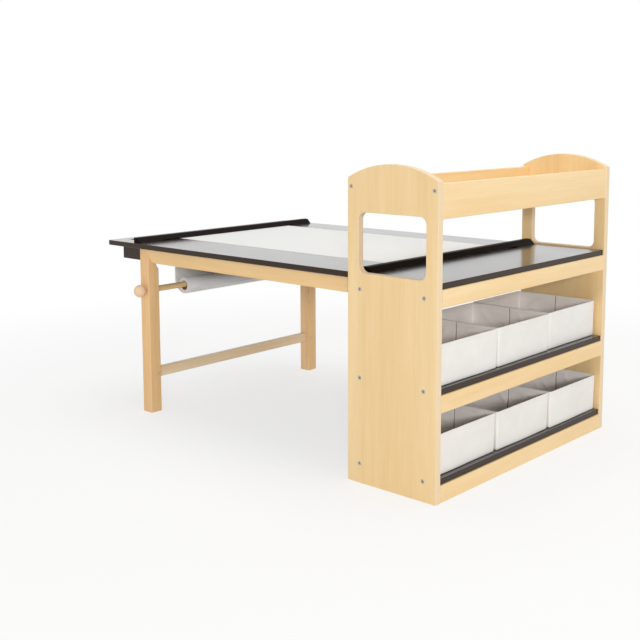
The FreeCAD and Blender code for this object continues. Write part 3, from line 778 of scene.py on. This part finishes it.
def webPath():
    rise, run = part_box("paper_rise"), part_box("paper_run")
    roll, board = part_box("paper_roll"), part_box("tabletop")
    spec, bend = webPaper, webPaper["bend"]
    axis, radius = (roll[0] + roll[1]) / 2, (roll[1].x - roll[0].x) / 2 + spec["clear"]
    turn = axis.x - rise[0].x - spec["slackInset"]
    path = []
    for step in range(spec["wrapSteps"]):  # the last turn still lies on the roll
        angle = math.radians(-90 + spec["wrap"] * (1 - step / spec["wrapSteps"]))
        path.append(Vector((axis.x + radius * math.cos(angle), 0, axis.z + radius * math.sin(angle))))
    centre = Vector((axis.x, 0, axis.z - radius + turn))
    for step in range(spec["slackSteps"] + 1):  # the slack turn behind it
        angle = math.radians(-90 - 90 * step / spec["slackSteps"])
        path.append(centre + Vector((turn * math.cos(angle), 0, turn * math.sin(angle))))
    top = board[1].z + spec["gap"] + spec["thick"] / 2
    slotX = run[0].x + spec["slotInset"]
    foot, head = path[-1], Vector((slotX - spec["headInset"], 0, board[0].z))
    low, high = foot + Vector(spec["footPull"]), head + Vector(spec["headPull"])
    for step in range(1, spec["riseSteps"] + 1):  # the rise to the slot
        t = step / spec["riseSteps"]
        lower = foot * (1 - t) ** 3 + low * 3 * t * (1 - t) ** 2
        path.append(lower + high * 3 * t ** 2 * (1 - t) + head * t ** 3)
    for step in range(spec["bendSteps"] + 1):  # over the edge of the slot
        angle = math.radians(180 - 90 * step / spec["bendSteps"])
        x = slotX + bend * (1 + math.cos(angle))
        path.append(Vector((x, 0, top - bend * (1 - math.sin(angle)))))
    first, last = path[-1].x, run[1].x - spec["endInset"]
    steps = int((last - first) / spec["stepAlong"])
    path += [Vector((first + (last - first) * step / steps, 0, top)) for step in range(1, steps + 1)]
    return path, top, run[0].y, run[1].y


def webLift(x, y, nearY, farY):  # the sheet lies a hair uneven between the two bars
    spec = webPaper
    calm = min(1.0, max(0.0, (x - spec["leftBar"]) / spec["leftRun"]),
               max(0.0, (spec["rightBar"] - x) / spec["rightRun"]))
    calm *= min(1.0, (y - nearY) / spec["edgeRun"], (farY - y) / spec["edgeRun"])
    wave = noise.noise(Vector((x * spec["grainX"], y * spec["grainY"], spec["grainSeed"])))
    return spec["ripple"] * calm * (1 + wave)


def makeWeb():
    spec = webPaper
    path, top, nearY, farY = webPath()
    length = sum((b - a).length for a, b in zip(path, path[1:]))
    verts, faces = [], []
    for p in path:
        for j in range(spec["across"] + 1):
            y = nearY + (farY - nearY) * j / spec["across"]
            lift = webLift(p.x, y, nearY, farY) if p.z >= top - spec["level"] else 0.0
            verts.append((p.x, y, p.z + lift))
    wide = spec["across"] + 1
    for i in range(len(path) - 1):
        for j in range(spec["across"]):
            faces.append((i * wide + j, (i + 1) * wide + j, (i + 1) * wide + j + 1, i * wide + j + 1))
    data = bpy.data.meshes.new("paperWeb")
    data.from_pydata(verts, [], faces)
    data.shade_smooth()
    data.materials.append(artPaper)
    return data, (farY - nearY, length)


webMesh, webFlat = makeWeb()
paperWeb = addPiece("paperWeb", webMesh, "frame", ("paper_run", "paper_rise"))
body = paperWeb.modifiers.new("body", "SOLIDIFY")
body.thickness = webPaper["thick"]
body.offset = 0.0
print("paper web:", [round(v, 4) for v in webFlat])


# the roll: turns of paper that stand a little in and out at its two ends

windings = {
    "turns": 13, "slip": 0.0005, "around": 72, "along": 8, "seed": 5, "coreGap": 0.0001,
    "turnInner": 0.00004, "turnOuter": 0.00012, "gapEdge": 0.00004, "gapDepth": 0.0006, "flatFrom": 0.5,
}


def windingEnd(slips, inner, step, y, inward):
    spec, points = windings, []
    for i, slip in enumerate(slips):
        points.append((inner + step * i + spec["turnInner"], y + inward * slip))
        points.append((inner + step * (i + 1) - spec["turnOuter"], y + inward * slip))
        if i < len(slips) - 1:  # a hairline gap between two turns
            deep = max(slip, slips[i + 1]) + spec["gapDepth"]
            points.append((inner + step * (i + 1) - spec["gapEdge"], y + inward * deep))
    return points


def makeRoll():
    lo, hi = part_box("paper_roll")
    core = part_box("paper_core")
    spec, count, along = windings, windings["around"], windings["along"]
    axisX, axisZ = Vector(((lo.x + hi.x) / 2, (lo.z + hi.z) / 2))
    outer, inner = (hi.x - lo.x) / 2, (core[1].x - core[0].x) / 2 + spec["coreGap"]
    pick = random.Random(spec["seed"])
    slips = [pick.uniform(0, spec["slip"]) for _ in range(spec["turns"])]
    slips[-1] = 0.0
    step = (outer - inner) / spec["turns"]
    near, far = windingEnd(slips, inner, step, lo.y, 1), windingEnd(slips, inner, step, hi.y, -1)
    wall = [(outer, lo.y + (hi.y - lo.y) * k / along) for k in range(along + 1)]
    bore = [(inner, hi.y - (hi.y - lo.y) * k / along) for k in range(along + 1)]
    mesh = bmesh.new()
    rings = []
    for radius, y in near + wall + list(reversed(far)) + bore:
        ring = []
        for k in range(count):
            angle = 2 * math.pi * k / count
            x, z = axisX + radius * math.cos(angle), axisZ + radius * math.sin(angle)
            ring.append(mesh.verts.new((x, y, z)))
        rings.append(ring)
    for a, b in zip(rings, rings[1:] + rings[:1]):
        for k in range(count):
            mesh.faces.new((a[k], a[(k + 1) % count], b[(k + 1) % count], b[k]))
    bmesh.ops.recalc_face_normals(mesh, faces=mesh.faces)
    for face in mesh.faces:
        face.smooth = abs(face.normal.y) < spec["flatFrom"]
    data = bpy.data.meshes.new("paperRoll")
    mesh.to_mesh(data)
    mesh.free()
    data.materials.append(rollPaper)
    return data


addPiece("paperRoll", makeRoll(), "roll", ("paper_roll",))
print("roll wound")


# small pan-head screws in the steel under the board

panScrews = {
    "sizes": {"Head Radius": 0.0042, "Head Height": 0.0022, "Socket Radius": 0.0016, "Socket Depth": 0.0012},
    "sides": 18, "skirt": 0.55, "crown": 0.45, "crownShare": 0.78, "socketTaper": 0.85,
    "steel": 0.0025, "plateUp": (-0.008, 0.008), "plateIn": 0.010, "bracketAlong": (0.013, 0.027),
}


def buildScrewTree(material):
    spec = panScrews
    tree, into, out = newGrowth("panScrew", spec["sizes"])
    headRadius, headHeight = into.outputs["Head Radius"], into.outputs["Head Height"]

    def pushed(source, height, grow, chosen=True):
        lift = addNode(tree, "ShaderNodeCombineXYZ", [(2, height)])
        push = addNode(tree, "GeometryNodeExtrudeMesh", [
            ("Mesh", source), ("Selection", chosen), ("Offset", lift.outputs[0]),
            ("Offset Scale", 1.0), ("Individual", False),
        ], mode="FACES")
        scale = addNode(tree, "GeometryNodeScaleElements", [
            ("Geometry", push.outputs["Mesh"]), ("Selection", push.outputs["Top"]), ("Scale", grow),
        ])
        return scale.outputs[0], push.outputs["Top"]

    links = [("Vertices", spec["sides"]), ("Radius", headRadius)]
    ring = addNode(tree, "GeometryNodeMeshCircle", links, fill_type="NGON")
    share = maths(tree, "DIVIDE", into.outputs["Socket Radius"], headRadius)
    share = maths(tree, "DIVIDE", share, spec["crownShare"])
    down = times(tree, into.outputs["Socket Depth"], -1.0)
    mesh, top = pushed(ring.outputs[0], times(tree, headHeight, spec["skirt"]), 1.0)
    mesh, top = pushed(mesh, times(tree, headHeight, spec["crown"]), spec["crownShare"], top)
    mesh, top = pushed(mesh, 0.0, share, top)
    mesh, top = pushed(mesh, down, spec["socketTaper"], top)
    links = [("Name", "facing")]
    facing = addNode(tree, "GeometryNodeInputNamedAttribute", links, data_type="FLOAT_VECTOR")
    align = addNode(tree, "FunctionNodeAlignRotationToVector", [("Vector", facing.outputs[0])], axis="Z")
    dots = addNode(tree, "GeometryNodeMeshToPoints", [("Mesh", into.outputs["Geometry"])])
    placed = addNode(tree, "GeometryNodeInstanceOnPoints", [
        ("Points", dots.outputs[0]), ("Instance", mesh), ("Rotation", align.outputs[0]),
    ])
    endGrowth(tree, placed.outputs[0], material, out)
    return tree


def screwSpots():
    spec, spots = panScrews, []
    steel, plateIn = spec["steel"], spec["plateIn"]
    for side, plate in ((1, "near_corner_plate"), (-1, "far_corner_plate")):
        lo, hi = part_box(plate)
        z = (lo.z + hi.z) / 2
        outerY = lo.y if side > 0 else hi.y
        innerY = hi.y if side > 0 else lo.y
        for dz in spec["plateUp"]:
            spots.append(((hi.x - plateIn, outerY + side * steel, z + dz), (0, side, 0)))
            spots.append(((lo.x + steel, innerY - side * plateIn, z + dz), (1, 0, 0)))
    lo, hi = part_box("apron_brackets")
    z = (lo.z + hi.z) / 2
    for side, y in ((1, lo.y), (-1, hi.y)):
        for along in spec["bracketAlong"]:
            spots.append(((hi.x - along, y + side * steel, z), (0, side, 0)))
            spots.append(((hi.x - steel, y + side * along, z), (-1, 0, 0)))
    return spots


spots = screwSpots()
dotMesh = bpy.data.meshes.new("screwDots")
dotMesh.from_pydata([p for p, _ in spots], [], [])
facing = dotMesh.attributes.new("facing", "FLOAT_VECTOR", "POINT")
for item, (_, way) in zip(facing.data, spots):
    item.vector = way
screwMesh = grownMesh("plateScrews", dotMesh, buildScrewTree(zincScrew), panScrews["sizes"])
addPiece("plateScrews", screwMesh, "frame")
print("plate screws:", len(spots))


# studio

studio = {
    "floor": rgb(251, 251, 250), "floorHalf": 14.0, "floorRough": 0.9, "floorGloss": 0.1, "ambient": 0.5,
    "fadeFrom": 0.9, "fadeTo": 2.3, "near": 0.68,
}
lamps = {
    "keyLamp": {"place": (5.3, -5.78, 1.94), "target": (0, 0, 0.35), "power": 222.0, "size": 1.0},
    "sideLamp": {"place": (3.6, -0.3, 1.3), "target": (0.2, 0, 0.35), "power": 10.5, "size": 1.8},
    "topLamp": {"place": (0.2, 0.2, 3.2), "target": (0, 0, 0.4), "power": 38.0, "size": 2.6,
                "mirrored": True},
}
view = {  # solved on the photograph: angles in degrees, focal length and centre in pixels
    "azimuth": 42.175, "elevation": 7.163, "roll": -0.192, "focal": 1033.2, "pixels": 640, "sensor": 36,
    "place": (1.88756, -2.16593, 0.85831), "centre": (325.48, 243.2),
}


def seenDirectly(tree):  # by the camera, or mirrored or through glass
    path = addNode(tree, "ShaderNodeLightPath")
    mirrored = maths(tree, "MAXIMUM", path.outputs["Is Glossy Ray"], path.outputs["Is Transmission Ray"])
    return maths(tree, "MAXIMUM", path.outputs["Is Camera Ray"], mirrored)


def makeFloor():  # takes the shadow near the object and runs out to plain white
    mat = bpy.data.materials.new("studioFloor")
    mat.use_nodes = True
    tree = mat.node_tree
    skin, out = tree.nodes["Principled BSDF"], tree.nodes["Material Output"]
    skin.inputs["Base Color"].default_value = studio["floor"]
    skin.inputs["Roughness"].default_value = studio["floorRough"]
    skin.inputs["Specular IOR Level"].default_value = studio["floorGloss"]
    place = addNode(tree, "ShaderNodeTexCoord").outputs["Object"]
    away = addNode(tree, "ShaderNodeVectorMath", [(0, place)], operation="LENGTH").outputs["Value"]
    fade = spread(tree, away, studio["fadeFrom"], studio["fadeTo"], studio["near"], 1.0,
                  interpolation_type="SMOOTHSTEP")
    white = addNode(tree, "ShaderNodeEmission")
    mix = addNode(tree, "ShaderNodeMixShader", [
        (0, times(tree, seenDirectly(tree), fade)), (1, skin.outputs[0]), (2, white.outputs[0]),
    ])
    tree.links.new(mix.outputs[0], out.inputs[0])
    half = studio["floorHalf"]
    corners = [(-half, -half, 0), (half, -half, 0), (half, half, 0), (-half, half, 0)]
    data = bpy.data.meshes.new("studioFloor")
    data.from_pydata(corners, [], [(0, 1, 2, 3)])
    data.materials.append(mat)
    floor = bpy.data.objects.new("studioFloor", data)
    scene.collection.objects.link(floor)


def makeWorld():
    world = bpy.data.worlds.new("studioWorld")
    scene.world = world
    world.use_nodes = True
    tree = world.node_tree
    back = tree.nodes["Background"]
    back.inputs["Color"].default_value = (1, 1, 1, 1)
    strength = spread(tree, seenDirectly(tree), 0, 1, studio["ambient"], 1.0)
    tree.links.new(strength, back.inputs["Strength"])


def addLamp(name, place, target, power, size, mirrored=False):
    lamp = bpy.data.lights.new(name, "AREA")
    lamp.energy = power
    lamp.shape = "DISK"
    lamp.size = size
    holder = bpy.data.objects.new(name, lamp)
    holder.location = place
    holder.rotation_euler = (Vector(target) - Vector(place)).to_track_quat("-Z", "Y").to_euler()
    holder.visible_glossy = mirrored
    scene.collection.objects.link(holder)


def makeCamera():
    lens = bpy.data.cameras.new("studioCamera")
    pixels, (centreX, centreY) = view["pixels"], view["centre"]
    lens.sensor_width = view["sensor"]
    lens.lens = view["focal"] * view["sensor"] / pixels
    lens.shift_x = (pixels / 2 - centreX) / pixels
    lens.shift_y = (centreY - pixels / 2) / pixels
    a, e, r = (math.radians(view[k]) for k in ("azimuth", "elevation", "roll"))
    back = Vector((math.sin(a) * math.cos(e), -math.cos(a) * math.cos(e), math.sin(e)))
    right = Vector((math.cos(a), math.sin(a), 0))
    up = back.cross(right)
    tiltedRight = right * math.cos(r) + up * math.sin(r)
    tiltedUp = up * math.cos(r) - right * math.sin(r)
    turn = Matrix((tiltedRight, tiltedUp, back)).transposed()
    camera = bpy.data.objects.new("studioCamera", lens)
    camera.matrix_world = Matrix.Translation(view["place"]) @ turn.to_4x4()
    scene.collection.objects.link(camera)
    scene.camera = camera


makeFloor()
makeWorld()
for name, spec in lamps.items():
    addLamp(name, **spec)
makeCamera()
print("studio set")
